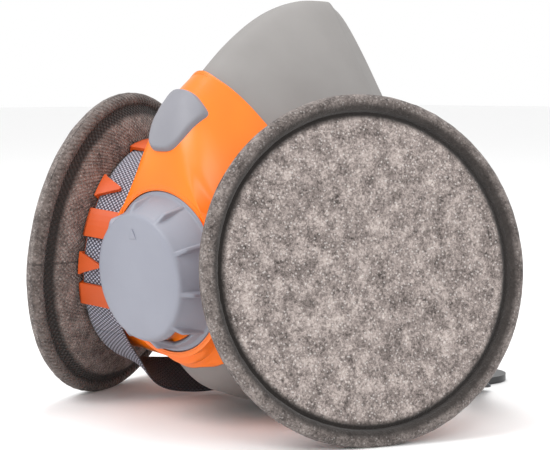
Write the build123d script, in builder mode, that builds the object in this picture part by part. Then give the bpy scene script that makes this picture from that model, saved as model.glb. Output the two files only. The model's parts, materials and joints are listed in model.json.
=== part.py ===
"""Half-face painters respirator: soft facepiece, rigid front shell, two twist-on disc filters, harness."""

import os
from math import cos, pi, radians, sin

from build123d import *

os.makedirs("parts", exist_ok=True)

# ---------------------------------------------------------------- driving dimensions, in millimetres
# Frame of the model: X across the face, -Y forward, +Z up, origin midway between the two filter rims.
FILTER_RADIUS = 52.5            # disc filter, 105 mm across
FILTER_OFFSET = 63.1            # from the middle plane to the centre of each filter's front rim
FILTER_TOE = 21.25              # degrees that a filter's axis points forward of straight sideways
FILTER_TILT = 7.12              # degrees that it points upward
BEAD_WIDTH = 4.0                # rolled rim of the disc
BEAD_DEPTH = 5.0
FACE_RECESS = 2.0               # front felt, below the rim
FELT = 1.2
BACK_SLOPE = 10.5               # width of the sloping back felt, inside the bead
FILTER_DEPTH = 10.4             # front rim to back felt

DRUM_RADIUS = 34.0              # cheek drum that carries the port and the strap guide
DRUM_FACE = 12.0                # drum face, inboard of the filter's rim plane
DRUM_DEPTH = 16.0
DRUM_WALL = 2.0
PORT_DEPTH = 10.0
PORT_BORE = 20.6
PORT_WALL = 4.3
PORT_FLANGE = 28.0
SPIGOT_RADIUS = 16.8
COUPLING_RADIUS = 24.0          # plate that holds the spigot to the filter's back
BACK_HOLE = COUPLING_RADIUS + 0.3
SPIGOT_WALL = 3.3
SPIGOT_LENGTH = 7.8
LUG_ANGLE = 28.0
LUG_OPENING = 32.0
LUG_COUNT = 3
LUG_THICKNESS = 1.5
LIP_THICKNESS = 1.5
GASKET_THICKNESS = 1.7
INHALE_RADIUS = 15.0            # bore that takes the inhalation valve seat
FLAP_TRAVEL = 1.4

VALVE_FACE_Y = -38.56           # centre of the exhalation cover's face
VALVE_FACE_Z = -4.68
VALVE_DROP = 5.6                # degrees that the valve's axis points down
COVER_FACE_RADIUS = 20.06
COVER_FLANGE_RADIUS = 25.54
COVER_DEPTH = 11.5              # face to the front of the flange
COVER_FLANGE = 2.0
COVER_WALL = 1.8
COVER_RIBS = 10
RIB_START = 25.0                # degrees above horizontal of the first rib
RIB_HALF = 1.8                  # half width of a rib, in degrees
VENT_ANGLES = (65.0, 101.0, 137.0)    # degrees below horizontal of the middle of each vent
VENT_HALF = 14.0
EDGE_BREAK = 1.2                # chamfer round the cover's face and flange
COLLAR_RADIUS = 21.9
COLLAR_BORE = 19.2
COLLAR_FRONT = 9.0
EXHALE_HOLE = 14.5
STEM_RADIUS = 1.9

SHELL_WALL = 2.15
FACE_WALL = 2.5
COVER_PROUD = 2.0               # top cover, above the shell
FACE_PORT_RADIUS = 26.0         # opening in the soft facepiece behind each drum
FACE_PORT_DEPTH = 16.0

STRAP_WIDTH = 12.4
STRAP_THICKNESS = 1.4
STRAP_EDGE = 12.0               # outboard edge of the strap on the drum
STRAP_TOP = 97.0                # degrees round the drum, 0 forward and 90 up
STRAP_BOTTOM = -45.0
# Bars over the strap: first and last angle round the drum, and whether the bar is closed or an open hook.
GUIDE_BARS = [(72, 95, True), (34.5, 47.5, False), (13.5, 28, True), (-6, 5.5, False), (-22, -10.5, True)]
GUIDE_BAND = 1.0
GUIDE_BAR = 1.5
GUIDE_FOOT = 1.0
CLASP_WIDTH = 17.0
CLASP_HEIGHT = 4.6
CLASP_Y = 53.5
CRADLE_LENGTH = 46.0
CRADLE_WIDTH = 34.0
CRADLE_RIM = 7.0
CRADLE_THICKNESS = 2.4

RUN = 0.1                       # running clearance of a shaft or spigot
SEAT = 0.25                     # clearance between shell and soft facepiece
SOFT = 0.3                      # clearance round a soft piece
PARTED = 0.4                    # filter back to port

# Facepiece cross-sections: depth y, top z, bottom z, half width, height of the widest place, roundness.
FORM_SIDES = 20
STATIONS = [
    (-27.1, 36.0, -27.0, 15.5, 2.0, 1.7),
    (-22.0, 47.5, -31.0, 21.3, 4.0, 1.5),
    (-12.0, 57.0, -39.5, 26.5, 4.0, 1.4),
    (0.0, 67.6, -46.0, 31.0, 2.0, 1.4),
    (15.0, 77.2, -50.0, 38.4, -4.0, 1.4),
    (30.0, 82.0, -52.2, 44.3, -8.0, 1.35),
    (45.0, 82.4, -52.3, 47.0, -10.0, 1.27),
    (62.0, 81.0, -52.3, 47.0, -10.0, 1.27),
]
# Side view (y, z) of the facepiece's rear rim and of the shell's rear edge.
RIM_LINE = [(45.5, 130.0), (46.0, 81.0), (48.0, 52.0), (57.0, 18.0), (57.5, -10.0), (46.0, -35.0), (28.0, -52.0),
            (20.0, -90.0)]
SHELL_LINE = [(-12.5, 130.0), (-12.2, 58.5), (-7.0, 54.5), (-3.5, 49.0), (0.0, 43.0), (4.0, 35.0), (8.0, 24.0),
              (10.0, 8.0), (10.0, -8.0), (5.0, -22.0), (-6.0, -30.5), (-15.0, -35.0), (-20.0, -90.0)]

# ---------------------------------------------------------------- derived frames and levels
toe = radians(FILTER_TOE)
tilt = radians(FILTER_TILT)
FLOOR = -(FILTER_RADIUS * cos(tilt) + BEAD_DEPTH / 2 * sin(tilt))


def pod_plane(side):
    """Plane of one filter's front rim: x forward, z along the axis towards the mask."""
    outward = Vector(side * cos(toe) * cos(tilt), -sin(toe) * cos(tilt), sin(tilt))
    forward = Vector(0, -1, 0) - outward * Vector(0, -1, 0).dot(outward)
    return Plane(origin=(side * FILTER_OFFSET, 0, 0), x_dir=forward.normalized(), z_dir=-outward)


def profile_plane(base):
    """Plane through the axis of base: x is the radius and y runs along that axis."""
    return Plane(origin=base.origin, x_dir=base.x_dir, z_dir=base.x_dir.cross(base.z_dir))


def axis_of(base):
    return Axis(base.origin, base.z_dir)


SIDES = {"right": 1, "left": -1}
PODS = {name: pod_plane(side) for name, side in SIDES.items()}
drop = radians(VALVE_DROP)
VALVE = Plane(origin=(0, VALVE_FACE_Y, VALVE_FACE_Z), x_dir=(1, 0, 0), z_dir=(0, cos(drop), sin(drop)))

SPIGOT_END = FILTER_DEPTH + SPIGOT_LENGTH
PORT_FRONT = DRUM_FACE - 1.0
LEDGE = DRUM_FACE + PORT_DEPTH - 2.0
LIP_INNER = SPIGOT_RADIUS + RUN
LUG_RADIUS = PORT_BORE - RUN
LUG_START = DRUM_FACE + LIP_THICKNESS + SOFT
STRAP_INNER_RADIUS = DRUM_RADIUS + RUN + GUIDE_BAND + SOFT
BAR_RADIUS = STRAP_INNER_RADIUS + STRAP_THICKNESS + PARTED
GUIDE_FRONT = STRAP_EDGE - SOFT - GUIDE_FOOT
GUIDE_BACK = STRAP_EDGE + STRAP_WIDTH + SOFT + GUIDE_FOOT
RECESS_FLOOR = COVER_DEPTH + COVER_FLANGE + 0.2
HOUSING_RADIUS = COVER_FLANGE_RADIUS + 2.0
HOUSING_BACK = RECESS_FLOOR + 2.3
DRUM_BACK = DRUM_FACE + DRUM_DEPTH
BEAD_INNER = FILTER_RADIUS - BEAD_WIDTH

finished = {}


def finish(builder, name):
    """Label one finished sub-part and keep it for export."""
    builder.part.label = name
    finished[name] = builder.part


def sector(inner, outer, start, end):
    """Ring sector between two angles, in degrees, for use inside a sketch."""
    reach = outer * 1.6
    count = max(2, int((end - start) / 60) + 2)
    angles = [radians(start + (end - start) * i / (count - 1)) for i in range(count)]
    Circle(outer)
    Circle(inner, mode=Mode.SUBTRACT)
    wedge = [(0, 0)] + [(reach * cos(a), reach * sin(a)) for a in angles]
    Polygon(*wedge, align=None, mode=Mode.INTERSECT)


def ring_sector(base, inner, outer, front, back, start, end, side=1, mode=Mode.ADD):
    """Solid ring sector on a pod, from one depth to another; side turns the angles for the mirrored pod."""
    first, last = sorted((side * start, side * end))
    with BuildSketch(base.offset(front)) as shape:
        sector(inner, outer, first, last)
    extrude(shape.sketch, amount=back - front, mode=mode)


def disc(base, radius, front, back, mode=Mode.ADD):
    """Solid disc on base from one depth to another."""
    with BuildSketch(base.offset(front)) as shape:
        Circle(radius)
    extrude(shape.sketch, amount=back - front, mode=mode)


def tube(base, outer, inner, front, back, mode=Mode.ADD):
    """Solid ring on base from one depth to another."""
    with BuildSketch(base.offset(front)) as shape:
        Circle(outer)
        Circle(inner, mode=Mode.SUBTRACT)
    extrude(shape.sketch, amount=back - front, mode=mode)


def turned(base, outline, mode=Mode.ADD):
    """Solid of revolution about the axis of base; outline holds (radius, depth) points."""
    with BuildSketch(profile_plane(base)) as shape:
        with BuildLine():
            Polyline(*outline, close=True)
        make_face()
    revolve(shape.sketch, axis=axis_of(base), mode=mode)


def mask_form(grow):
    """Closed block of the mask's outer form, grown by a wall, as a loft over the stations."""
    with BuildPart() as form:
        for number, (y, top, bottom, half, waist, power) in enumerate(STATIONS):
            depth = y - grow if number == 0 else y
            outline = []
            for step in range(FORM_SIDES):
                turn = 2 * pi * step / FORM_SIDES
                level = cos(turn)
                height = (top + grow - waist) if level > 0 else (waist - bottom + grow)
                roundness = power if level > 0 else 2.0
                width = (half + grow) * (1 - abs(level) ** roundness) ** (1 / roundness)
                outline.append((width if turn < pi else -width, waist + height * level))
            with BuildSketch(Plane(origin=(0, depth, 0), x_dir=(1, 0, 0), z_dir=(0, -1, 0))):
                Polygon(*outline, align=None)
        loft(ruled=True)
    return form.part


def side_region(line, far):
    """Block that holds everything between a side-view line and a far depth."""
    with BuildPart() as region:
        with BuildSketch(Plane.YZ):
            with BuildLine():
                Polyline(*line, (far, line[-1][1]), (far, line[0][1]), close=True)
            make_face()
        extrude(amount=120, both=True)
    return region.part


def half_space(base, back):
    """Large block outboard of one depth on a pod."""
    with BuildPart() as block:
        with BuildSketch(base.offset(back - 60)):
            Rectangle(240, 240)
        extrude(amount=60)
    return block.part


def ribbon(stations, width, thickness):
    """Flat band of webbing through (point, direction, width direction) stations, as one ruled loft."""
    with BuildPart() as band:
        for point, heading, across in stations:
            heading = Vector(heading).normalized()
            across = Vector(across)
            across = (across - heading * across.dot(heading)).normalized()
            with BuildSketch(Plane(origin=point, x_dir=across, z_dir=heading)):
                Rectangle(width, thickness)
        loft(ruled=True)
    return band.part


def on_pod(side, angle, radius, depth):
    """Point on a pod at an angle (0 forward, 90 up), a radius and a depth."""
    base = PODS["right" if side > 0 else "left"]
    turn = radians(side * angle)
    return base.from_local_coords((radius * cos(turn), radius * sin(turn), depth))


# ---------------------------------------------------------------- facepiece
with BuildPart() as facepiece:
    add(mask_form(0))
    add(mask_form(-FACE_WALL), mode=Mode.SUBTRACT)
    add(side_region(RIM_LINE, 90), mode=Mode.SUBTRACT)
    disc(VALVE, HOUSING_RADIUS + SOFT, -10, HOUSING_BACK + SOFT, mode=Mode.SUBTRACT)
    for pod in PODS.values():
        disc(pod, FACE_PORT_RADIUS, DRUM_FACE, DRUM_BACK + FACE_PORT_DEPTH, mode=Mode.SUBTRACT)
        add(half_space(pod, DRUM_BACK + SEAT), mode=Mode.SUBTRACT)
finish(facepiece, "facepiece")

# ---------------------------------------------------------------- front shell
with BuildPart() as front_shell:
    add(mask_form(SEAT + SHELL_WALL))
    add(mask_form(SEAT), mode=Mode.SUBTRACT)
    add(side_region(SHELL_LINE, 90), mode=Mode.SUBTRACT)
    with BuildSketch(VALVE.offset(-20)) as front:
        Rectangle(120, 2 * (HOUSING_RADIUS + SEAT))
    extrude(front.sketch, amount=20 + HOUSING_BACK + SEAT, mode=Mode.SUBTRACT)
    for pod in PODS.values():
        add(half_space(pod, DRUM_BACK + SEAT), mode=Mode.SUBTRACT)
finish(front_shell, "front_shell")

# ---------------------------------------------------------------- top cover, snapped on the shell's brow
COVER_OUTLINE = [(-4.6, 10.6), (4.6, 10.6), (10.6, 5.4), (10.8, 2.6), (6.0, -10.6), (-6.0, -10.6), (-10.8, 2.6),
                 (-10.6, 5.4)]
with BuildPart() as top_cover:
    with BuildSketch(Plane(origin=(0, -24.9, 45.0), x_dir=(1, 0, 0), z_dir=(0, -0.823, 0.567)).offset(-12)):
        Polygon(*COVER_OUTLINE, align=None)
    extrude(amount=20)
    add(mask_form(SEAT + SHELL_WALL + COVER_PROUD), mode=Mode.INTERSECT)
    add(mask_form(SEAT + SHELL_WALL + 0.05), mode=Mode.SUBTRACT)
finish(top_cover, "top_cover")

# ---------------------------------------------------------------- exhalation valve
with BuildPart() as valve_housing:
    tube(VALVE, HOUSING_RADIUS, COLLAR_BORE, RECESS_FLOOR, HOUSING_BACK)
    tube(VALVE, HOUSING_RADIUS, COVER_FLANGE_RADIUS + SOFT, COVER_DEPTH, RECESS_FLOOR)
    tube(VALVE, COLLAR_RADIUS, COLLAR_BORE, COLLAR_FRONT, RECESS_FLOOR)
    for name, side in SIDES.items():
        ring_sector(PODS[name], DRUM_RADIUS + RUN / 2, DRUM_RADIUS + 30, DRUM_FACE, GUIDE_BACK + SOFT, STRAP_BOTTOM - 15,
                    STRAP_TOP, side, mode=Mode.SUBTRACT)
finish(valve_housing, "valve_housing")

SEAT_FRONT = COLLAR_FRONT + 1.0
SEAT_BACK = HOUSING_BACK


def spoked_seat(base, outer, inner, front, back):
    """Valve seat: a ring, a hub with a stem hole, and four spokes."""
    tube(base, outer, inner, front, back)
    tube(base, STEM_RADIUS + 1.6, STEM_RADIUS + RUN, front + 0.2, back)
    for turn in range(4):
        ring_sector(base, STEM_RADIUS + 1.2, inner + 0.4, front + 0.2, back, turn * 90 - 4, turn * 90 + 4)


def flap(base, radius, lip, stem_end, toward):
    """Thin valve flap with a stem through its seat and a knob that keeps it there."""
    low, high = sorted((lip, lip + 0.6 * toward))
    disc(base, radius, low, high)
    low, high = sorted((lip, stem_end))
    disc(base, STEM_RADIUS, low, high)
    low, high = sorted((stem_end, stem_end - toward))
    disc(base, STEM_RADIUS + 0.8, low, high)


with BuildPart() as exhalation_seat:
    spoked_seat(VALVE, COLLAR_BORE - RUN, EXHALE_HOLE, SEAT_FRONT, SEAT_BACK)
finish(exhalation_seat, "exhalation_seat")

with BuildPart() as exhalation_flap:
    flap(VALVE, EXHALE_HOLE + 2.5, SEAT_FRONT - 0.1, SEAT_BACK + FLAP_TRAVEL + 0.3, -1)
finish(exhalation_flap, "exhalation_flap")

with BuildPart() as exhalation_cover:
    turned(VALVE, [(0, 0), (COVER_FACE_RADIUS - EDGE_BREAK, 0), (COVER_FACE_RADIUS, EDGE_BREAK),
                   (COVER_FLANGE_RADIUS - EDGE_BREAK, COVER_DEPTH), (COVER_FLANGE_RADIUS, COVER_DEPTH),
                   (COVER_FLANGE_RADIUS, COVER_DEPTH + COVER_FLANGE), (COLLAR_RADIUS + RUN, COVER_DEPTH + COVER_FLANGE),
                   (COLLAR_RADIUS + RUN, COLLAR_FRONT - SOFT), (COVER_FACE_RADIUS - COVER_WALL, COVER_WALL),
                   (0, COVER_WALL)])
    for rib in range(COVER_RIBS):
        turn = -RIB_START - rib * 360 / COVER_RIBS
        ring_sector(VALVE, COVER_FACE_RADIUS - 0.6, COLLAR_RADIUS + 0.8, 2.5, COLLAR_FRONT - SOFT,
                    turn - RIB_HALF, turn + RIB_HALF)
        ring_sector(VALVE, COLLAR_RADIUS + 0.2, COVER_FLANGE_RADIUS - 0.6, 5.0, COVER_DEPTH + 0.5,
                    turn - RIB_HALF, turn + RIB_HALF)
    for window in VENT_ANGLES:
        ring_sector(VALVE, COVER_FACE_RADIUS - 4, COVER_FLANGE_RADIUS, 3.0, COLLAR_FRONT - 0.2,
                    window - VENT_HALF, window + VENT_HALF, mode=Mode.SUBTRACT)
finish(exhalation_cover, "exhalation_cover")

# ---------------------------------------------------------------- cheek drums, ports, guides and straps
for name, side in SIDES.items():
    pod = PODS[name]
    with BuildPart() as cheek_drum:
        tube(pod, DRUM_RADIUS, DRUM_RADIUS - DRUM_WALL, DRUM_FACE, DRUM_BACK)
        tube(pod, DRUM_RADIUS, PORT_BORE + PORT_WALL + RUN, DRUM_FACE, DRUM_FACE + DRUM_WALL)
    finish(cheek_drum, f"cheek_drum_{name}")

    with BuildPart() as port:
        tube(pod, PORT_FLANGE, PORT_BORE, PORT_FRONT, DRUM_FACE)
        tube(pod, PORT_BORE + PORT_WALL, PORT_BORE, DRUM_FACE, LEDGE)
        tube(pod, PORT_BORE + PORT_WALL, INHALE_RADIUS, LEDGE, LEDGE + 2)
        for lug in range(LUG_COUNT):
            middle = lug * 360 / LUG_COUNT
            lip = 180 / LUG_COUNT - LUG_OPENING / 2
            ring_sector(pod, LIP_INNER, PORT_BORE + 1, DRUM_FACE, DRUM_FACE + LIP_THICKNESS, middle - lip,
                        middle + lip)
            ring_sector(pod, LIP_INNER + SOFT, PORT_BORE + 1, DRUM_FACE + LIP_THICKNESS, LUG_START + LUG_THICKNESS,
                        middle + LUG_ANGLE / 2 + 0.5, middle + LUG_ANGLE / 2 + 3.5)
    finish(port, f"port_{name}")

    with BuildPart() as port_gasket:
        tube(pod, PORT_BORE - RUN, INHALE_RADIUS + SOFT, LEDGE - GASKET_THICKNESS, LEDGE)
    finish(port_gasket, f"port_gasket_{name}")

    with BuildPart() as inhalation_seat:
        spoked_seat(pod, INHALE_RADIUS - 0.05, INHALE_RADIUS - 3.5, LEDGE, LEDGE + 2)
    finish(inhalation_seat, f"inhalation_seat_{name}")

    with BuildPart() as inhalation_flap:
        flap(pod, INHALE_RADIUS - 1.6, LEDGE + 2.1, LEDGE - FLAP_TRAVEL - 0.3, 1)
    finish(inhalation_flap, f"inhalation_flap_{name}")

    with BuildPart() as strap_guide:
        ring_sector(pod, DRUM_RADIUS + RUN, DRUM_RADIUS + RUN + GUIDE_BAND, GUIDE_FRONT, GUIDE_BACK, STRAP_BOTTOM,
                    STRAP_TOP - 1, side)
        for first, last, closed in GUIDE_BARS:
            bar_end = GUIDE_BACK if closed else STRAP_EDGE + STRAP_WIDTH / 2
            ring_sector(pod, DRUM_RADIUS + RUN + GUIDE_BAND - 0.2, BAR_RADIUS + GUIDE_BAR, GUIDE_FRONT,
                        GUIDE_FRONT + GUIDE_FOOT, first, last, side)
            ring_sector(pod, BAR_RADIUS, BAR_RADIUS + GUIDE_BAR, GUIDE_FRONT, bar_end, first, last, side)
            if closed:
                ring_sector(pod, DRUM_RADIUS + RUN + GUIDE_BAND - 0.2, BAR_RADIUS + GUIDE_BAR,
                            GUIDE_BACK - GUIDE_FOOT, GUIDE_BACK, first, last, side)
        disc(VALVE, COVER_FLANGE_RADIUS + SOFT, COLLAR_FRONT, RECESS_FLOOR, mode=Mode.SUBTRACT)
    finish(strap_guide, f"strap_guide_{name}")

    # -------- disc filter that twists into the port
    with BuildPart() as filter_face:
        turned(pod, [(0, FACE_RECESS), (BEAD_INNER - 0.9, FACE_RECESS), (BEAD_INNER + 0.5, 0.5),
                     (BEAD_INNER + 2, 0), (FILTER_RADIUS - 0.4, 0.9), (FILTER_RADIUS, BEAD_DEPTH / 2),
                     (BEAD_INNER + 0.3, BEAD_DEPTH / 2), (BEAD_INNER - 0.9, FACE_RECESS + FELT),
                     (0, FACE_RECESS + FELT)])
    finish(filter_face, f"filter_face_{name}")

    slope_end = BEAD_INNER - BACK_SLOPE
    with BuildPart() as filter_back:
        turned(pod, [(BEAD_INNER + 0.3, BEAD_DEPTH / 2), (FILTER_RADIUS, BEAD_DEPTH / 2),
                     (FILTER_RADIUS - 0.1, BEAD_DEPTH - 0.8), (FILTER_RADIUS - 0.9, BEAD_DEPTH),
                     (BEAD_INNER + 1, BEAD_DEPTH - 0.4), (slope_end, FILTER_DEPTH - 0.4), (BACK_HOLE, FILTER_DEPTH),
                     (BACK_HOLE, FILTER_DEPTH - FELT), (slope_end - 0.4, FILTER_DEPTH - 0.4 - FELT),
                     (BEAD_INNER - 1.1, FACE_RECESS + FELT + 0.4)])
    finish(filter_back, f"filter_back_{name}")

    with BuildPart() as filter_media:
        turned(pod, [(0, FACE_RECESS + FELT + 0.1), (BEAD_INNER - 2, FACE_RECESS + FELT + 0.1),
                     (slope_end - 1, FILTER_DEPTH - FELT - 0.6), (0, FILTER_DEPTH - FELT - 0.2)])
    finish(filter_media, f"filter_media_{name}")

    with BuildPart() as filter_coupling:
        tube(pod, COUPLING_RADIUS, SPIGOT_RADIUS - SPIGOT_WALL, FILTER_DEPTH - FELT, FILTER_DEPTH)
        tube(pod, SPIGOT_RADIUS, SPIGOT_RADIUS - SPIGOT_WALL, FILTER_DEPTH, LEDGE - GASKET_THICKNESS - 0.1)
        for lug in range(LUG_COUNT):
            middle = lug * 360 / LUG_COUNT
            ring_sector(pod, SPIGOT_RADIUS - 1, LUG_RADIUS, LUG_START, LUG_START + LUG_THICKNESS,
                        middle - LUG_ANGLE / 2, middle + LUG_ANGLE / 2)
    finish(filter_coupling, f"filter_coupling_{name}")

    # -------- strap: belt round the drum, an upper run to the cradle and a lower run to the neck clasp
    with BuildPart() as strap_belt:
        ring_sector(pod, STRAP_INNER_RADIUS, STRAP_INNER_RADIUS + STRAP_THICKNESS, STRAP_EDGE,
                    STRAP_EDGE + STRAP_WIDTH, STRAP_BOTTOM, STRAP_TOP, side)
    finish(strap_belt, f"strap_belt_{name}")

    middle_depth = STRAP_EDGE + STRAP_WIDTH / 2
    middle_radius = STRAP_INNER_RADIUS + STRAP_THICKNESS / 2
    inboard = pod.z_dir

    def belt_end(angle, step):
        """Point and heading where the belt leaves the drum; step is +1 upward round it, -1 downward."""
        point = on_pod(side, angle, middle_radius, middle_depth)
        near = on_pod(side, angle + step, middle_radius, middle_depth)
        return point, (near - point).normalized()

    flat_z = FLOOR + 1.6
    top_point, top_heading = belt_end(STRAP_TOP, 1)
    upper = [(top_point + top_heading * 0.1, top_heading, inboard)]
    for point, heading in (
        ((50.5, 25.0, 31.5), (0.4, 0.9, -0.25)),
        ((56.5, 40.0, 22.0), (0.2, 0.75, -0.65)),
        ((58.0, 53.0, 5.0), (-0.05, 0.5, -0.87)),
        ((53.0, 63.0, -14.0), (-0.4, 0.4, -0.8)),
        ((42.0, 73.0, -33.0), (-0.5, 0.5, -0.7)),
        ((30.0, 84.0, -46.5), (-0.4, 0.85, -0.3)),
        ((25.0, 93.0, flat_z), (-0.45, 0.9, 0.0)),
    ):
        heading = Vector(side * heading[0], heading[1], heading[2])
        upper.append(((side * point[0], point[1], point[2]), heading, heading.cross(Vector(0, 0, 1)) * -side))
    finished[f"strap_upper_{name}"] = ribbon(upper, STRAP_WIDTH, STRAP_THICKNESS)

    low_point, low_heading = belt_end(STRAP_BOTTOM, -1)
    lower = [(low_point + low_heading * 0.1, low_heading, inboard)]
    for point, heading, across in (
        ((43.5, -7.0, -38.0), (0.2, 0.75, -0.55), (-0.8, 0.3, -0.25)),
        ((42.0, 4.0, -43.5), (-0.25, 0.9, -0.25), (-0.7, 0.0, -0.6)),
        ((37.0, 14.0, -44.8), (-0.35, 0.9, 0.0), (-0.4, 0.0, -0.9)),
        ((33.5, 25.0, -44.9), (-0.3, 0.95, 0.0), (-0.4, 0.0, -0.9)),
        ((28.5, 37.0, -46.0), (-0.5, 0.8, -0.1), (-0.55, -0.3, -0.7)),
        ((21.5, 47.0, -48.9), (-0.75, 0.6, -0.2), (-0.5, -0.7, -0.3)),
        ((9.7, CLASP_Y, flat_z), (-1.0, 0.0, 0.0), (0.0, -1.0, 0.0)),
    ):
        point = (side * point[0], point[1], point[2])
        lower.append((point, (side * heading[0], *heading[1:]), (side * across[0], *across[1:])))
    finished[f"strap_lower_{name}"] = ribbon(lower, STRAP_WIDTH, STRAP_THICKNESS)

# ---------------------------------------------------------------- neck clasp and head cradle, lying on the table
clasp_base = Plane(origin=(0, CLASP_Y, FLOOR + 0.05), x_dir=(1, 0, 0), z_dir=(0, 0, 1))
with BuildPart() as neck_clasp_socket:
    with BuildSketch(clasp_base):
        with Locations((-4.5, 0)):
            Rectangle(9.4, CLASP_WIDTH)
        with Locations((-1.6, 0)):
            Rectangle(2.6, 9.0, mode=Mode.SUBTRACT)
    extrude(amount=CLASP_HEIGHT)
finish(neck_clasp_socket, "neck_clasp_socket")

with BuildPart() as neck_clasp_hook:
    with BuildSketch(clasp_base.offset(CLASP_HEIGHT + SOFT)):
        with Locations((3.6, 0)):
            Rectangle(11.6, 8.0)
    extrude(amount=1.6)
    with BuildSketch(clasp_base.offset(1.5)):
        with Locations((-1.6, 0)):
            Rectangle(1.8, 8.0)
    extrude(amount=CLASP_HEIGHT + SOFT + 0.1 - 1.5)
    with BuildSketch(clasp_base):
        with Locations((4.9, 0)):
            Rectangle(8.6, CLASP_WIDTH)
    extrude(amount=CLASP_HEIGHT + SOFT + 0.1)
finish(neck_clasp_hook, "neck_clasp_hook")

with BuildPart() as head_cradle:
    with BuildSketch(Plane(origin=(0, 93.0 + CRADLE_WIDTH / 2 - 6, FLOOR + 0.05), x_dir=(1, 0, 0), z_dir=(0, 0, 1))):
        RectangleRounded(CRADLE_LENGTH, CRADLE_WIDTH, 12)
        RectangleRounded(CRADLE_LENGTH - 2 * CRADLE_RIM, CRADLE_WIDTH - 2 * CRADLE_RIM, 6, mode=Mode.SUBTRACT)
    extrude(amount=CRADLE_THICKNESS)
finish(head_cradle, "head_cradle")

# ---------------------------------------------------------------- row frame: centred over its footprint, on the table
boxes = [piece.bounding_box() for piece in finished.values()]
low_y = min(box.min.Y for box in boxes)
high_y = max(box.max.Y for box in boxes)
low_z = min(box.min.Z for box in boxes)
SHIFT = Location((0, -(low_y + high_y) / 2, -low_z))

for name, piece in finished.items():
    placed = piece.moved(SHIFT)
    placed.label = name
    export_step(placed, f"parts/{name}.step")
    print(name, len(placed.solids()), round(placed.volume, 1))
print("shift", SHIFT.position)
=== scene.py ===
import json
import logging
from dataclasses import dataclass, field
from enum import Enum
from math import cos, pi, radians, sin

import bmesh
import bpy
import numpy as np
from mathutils import Matrix, Vector


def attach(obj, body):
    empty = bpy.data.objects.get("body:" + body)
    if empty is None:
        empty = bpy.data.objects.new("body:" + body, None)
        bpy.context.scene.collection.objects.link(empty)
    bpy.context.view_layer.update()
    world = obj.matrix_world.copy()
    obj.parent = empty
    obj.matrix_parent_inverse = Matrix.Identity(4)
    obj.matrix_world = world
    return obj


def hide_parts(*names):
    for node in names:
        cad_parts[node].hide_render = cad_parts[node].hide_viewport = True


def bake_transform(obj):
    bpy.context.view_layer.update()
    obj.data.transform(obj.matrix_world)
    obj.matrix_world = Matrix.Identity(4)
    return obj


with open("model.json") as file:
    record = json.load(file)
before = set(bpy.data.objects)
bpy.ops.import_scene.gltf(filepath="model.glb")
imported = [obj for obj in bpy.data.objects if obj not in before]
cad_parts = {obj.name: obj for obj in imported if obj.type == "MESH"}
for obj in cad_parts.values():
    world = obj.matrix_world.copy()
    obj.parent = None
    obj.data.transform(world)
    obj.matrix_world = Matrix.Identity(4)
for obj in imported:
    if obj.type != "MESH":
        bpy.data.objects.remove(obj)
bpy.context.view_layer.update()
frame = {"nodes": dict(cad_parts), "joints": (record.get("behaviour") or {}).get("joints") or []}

MM = 0.001
Array = np.ndarray
Piece = bpy.types.Object
Material = bpy.types.Material
Tree = bpy.types.NodeTree
Node = bpy.types.Node
log = logging.getLogger("respirator")

CORNER_CUT = 0.2  # share of a side that each rounding pass takes off at a corner
ARC_RADIUS = 40.0  # radius at which a disc's pattern runs true round the axis, in millimetres
RIM_SPAN = 60.0  # radius that a disc's shade ramp covers, in millimetres
UNDERSIDE_FROM = 70.0  # pattern coordinate that parts the two faces of a strap
BRACKETS, HALVINGS, SUBSTITUTIONS = 120, 14, 12  # steps of the searches for a point on the form
SECTION_BELOW = 2.0  # power of the mask's section below its waist: an ellipse


class Side(Enum):
    """Side of a filter, drum or strap as seen from in front of the mask; the value is the sign of X."""

    RIGHT = 1
    LEFT = -1

    @property
    def word(self) -> str:
        """Lower-case name as it is used in node names."""
        return self.name.lower()


# Numbers and curves
def unit(vector: Array) -> Array:
    """Vector or rows of vectors scaled to length one."""
    return vector / np.linalg.norm(vector, axis=-1, keepdims=True)


def table(*rows: float | tuple[float, float]) -> Array:
    """Default of a dataclass field that holds a table of numbers."""
    return field(default_factory=lambda: np.array(rows, float))


def smoothstep(value: Array, low: float, high: float) -> Array:
    """Ease from 0 at low to 1 at high: 3t^2 - 2t^3 of the clamped share t."""
    share = np.clip((value - low) / (high - low), 0, 1)
    return share * share * (3 - 2 * share)


def cubic_through(knots: Array, rows: Array, at: Array) -> Array:
    """Cubic Hermite curve through rows at knots, with each slope taken from its two neighbours.

    Args:
        knots: Increasing parameter of each row.
        rows: Values to pass through, one row for each knot.
        at: Parameters to read the curve at.

    Returns:
        One interpolated row for each parameter.
    """
    rows = np.asarray(rows, float)
    slopes = np.gradient(rows, knots, axis=0)
    at = np.clip(at, knots[0], knots[-1])
    left = np.clip(np.searchsorted(knots, at, side="right") - 1, 0, len(knots) - 2)
    span = knots[left + 1] - knots[left]
    t = (at - knots[left]) / span
    if rows.ndim > 1:
        t = t[..., None]
        span = span[..., None]
    return ((2 * t**3 - 3 * t**2 + 1) * rows[left] + (t**3 - 2 * t**2 + t) * span * slopes[left]
            + (3 * t**2 - 2 * t**3) * rows[left + 1] + (t**3 - t**2) * span * slopes[left + 1])


def rounded_outline(corners: list[tuple[float, float]], rounds: int = 4) -> Array:
    """Closed outline with its corners cut round: each pass puts a point near either end of every side."""
    points = np.array(corners, float)
    for _ in range(rounds):
        after = np.roll(points, -1, axis=0)
        points = np.stack([(1 - CORNER_CUT) * points + CORNER_CUT * after,
                           CORNER_CUT * points + (1 - CORNER_CUT) * after], axis=1).reshape(-1, 2)
    return points


def run_along(points: Array) -> Array:
    """Distance along a line at each of its points: the running sum of its chords."""
    return np.concatenate([[0], np.cumsum(np.linalg.norm(np.diff(points, axis=0), axis=1))])


def full_turn(sides: int) -> Array:
    """Angles in radians of sides spaced evenly round an axis."""
    return np.linspace(0, 2 * pi, sides, endpoint=False)


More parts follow.
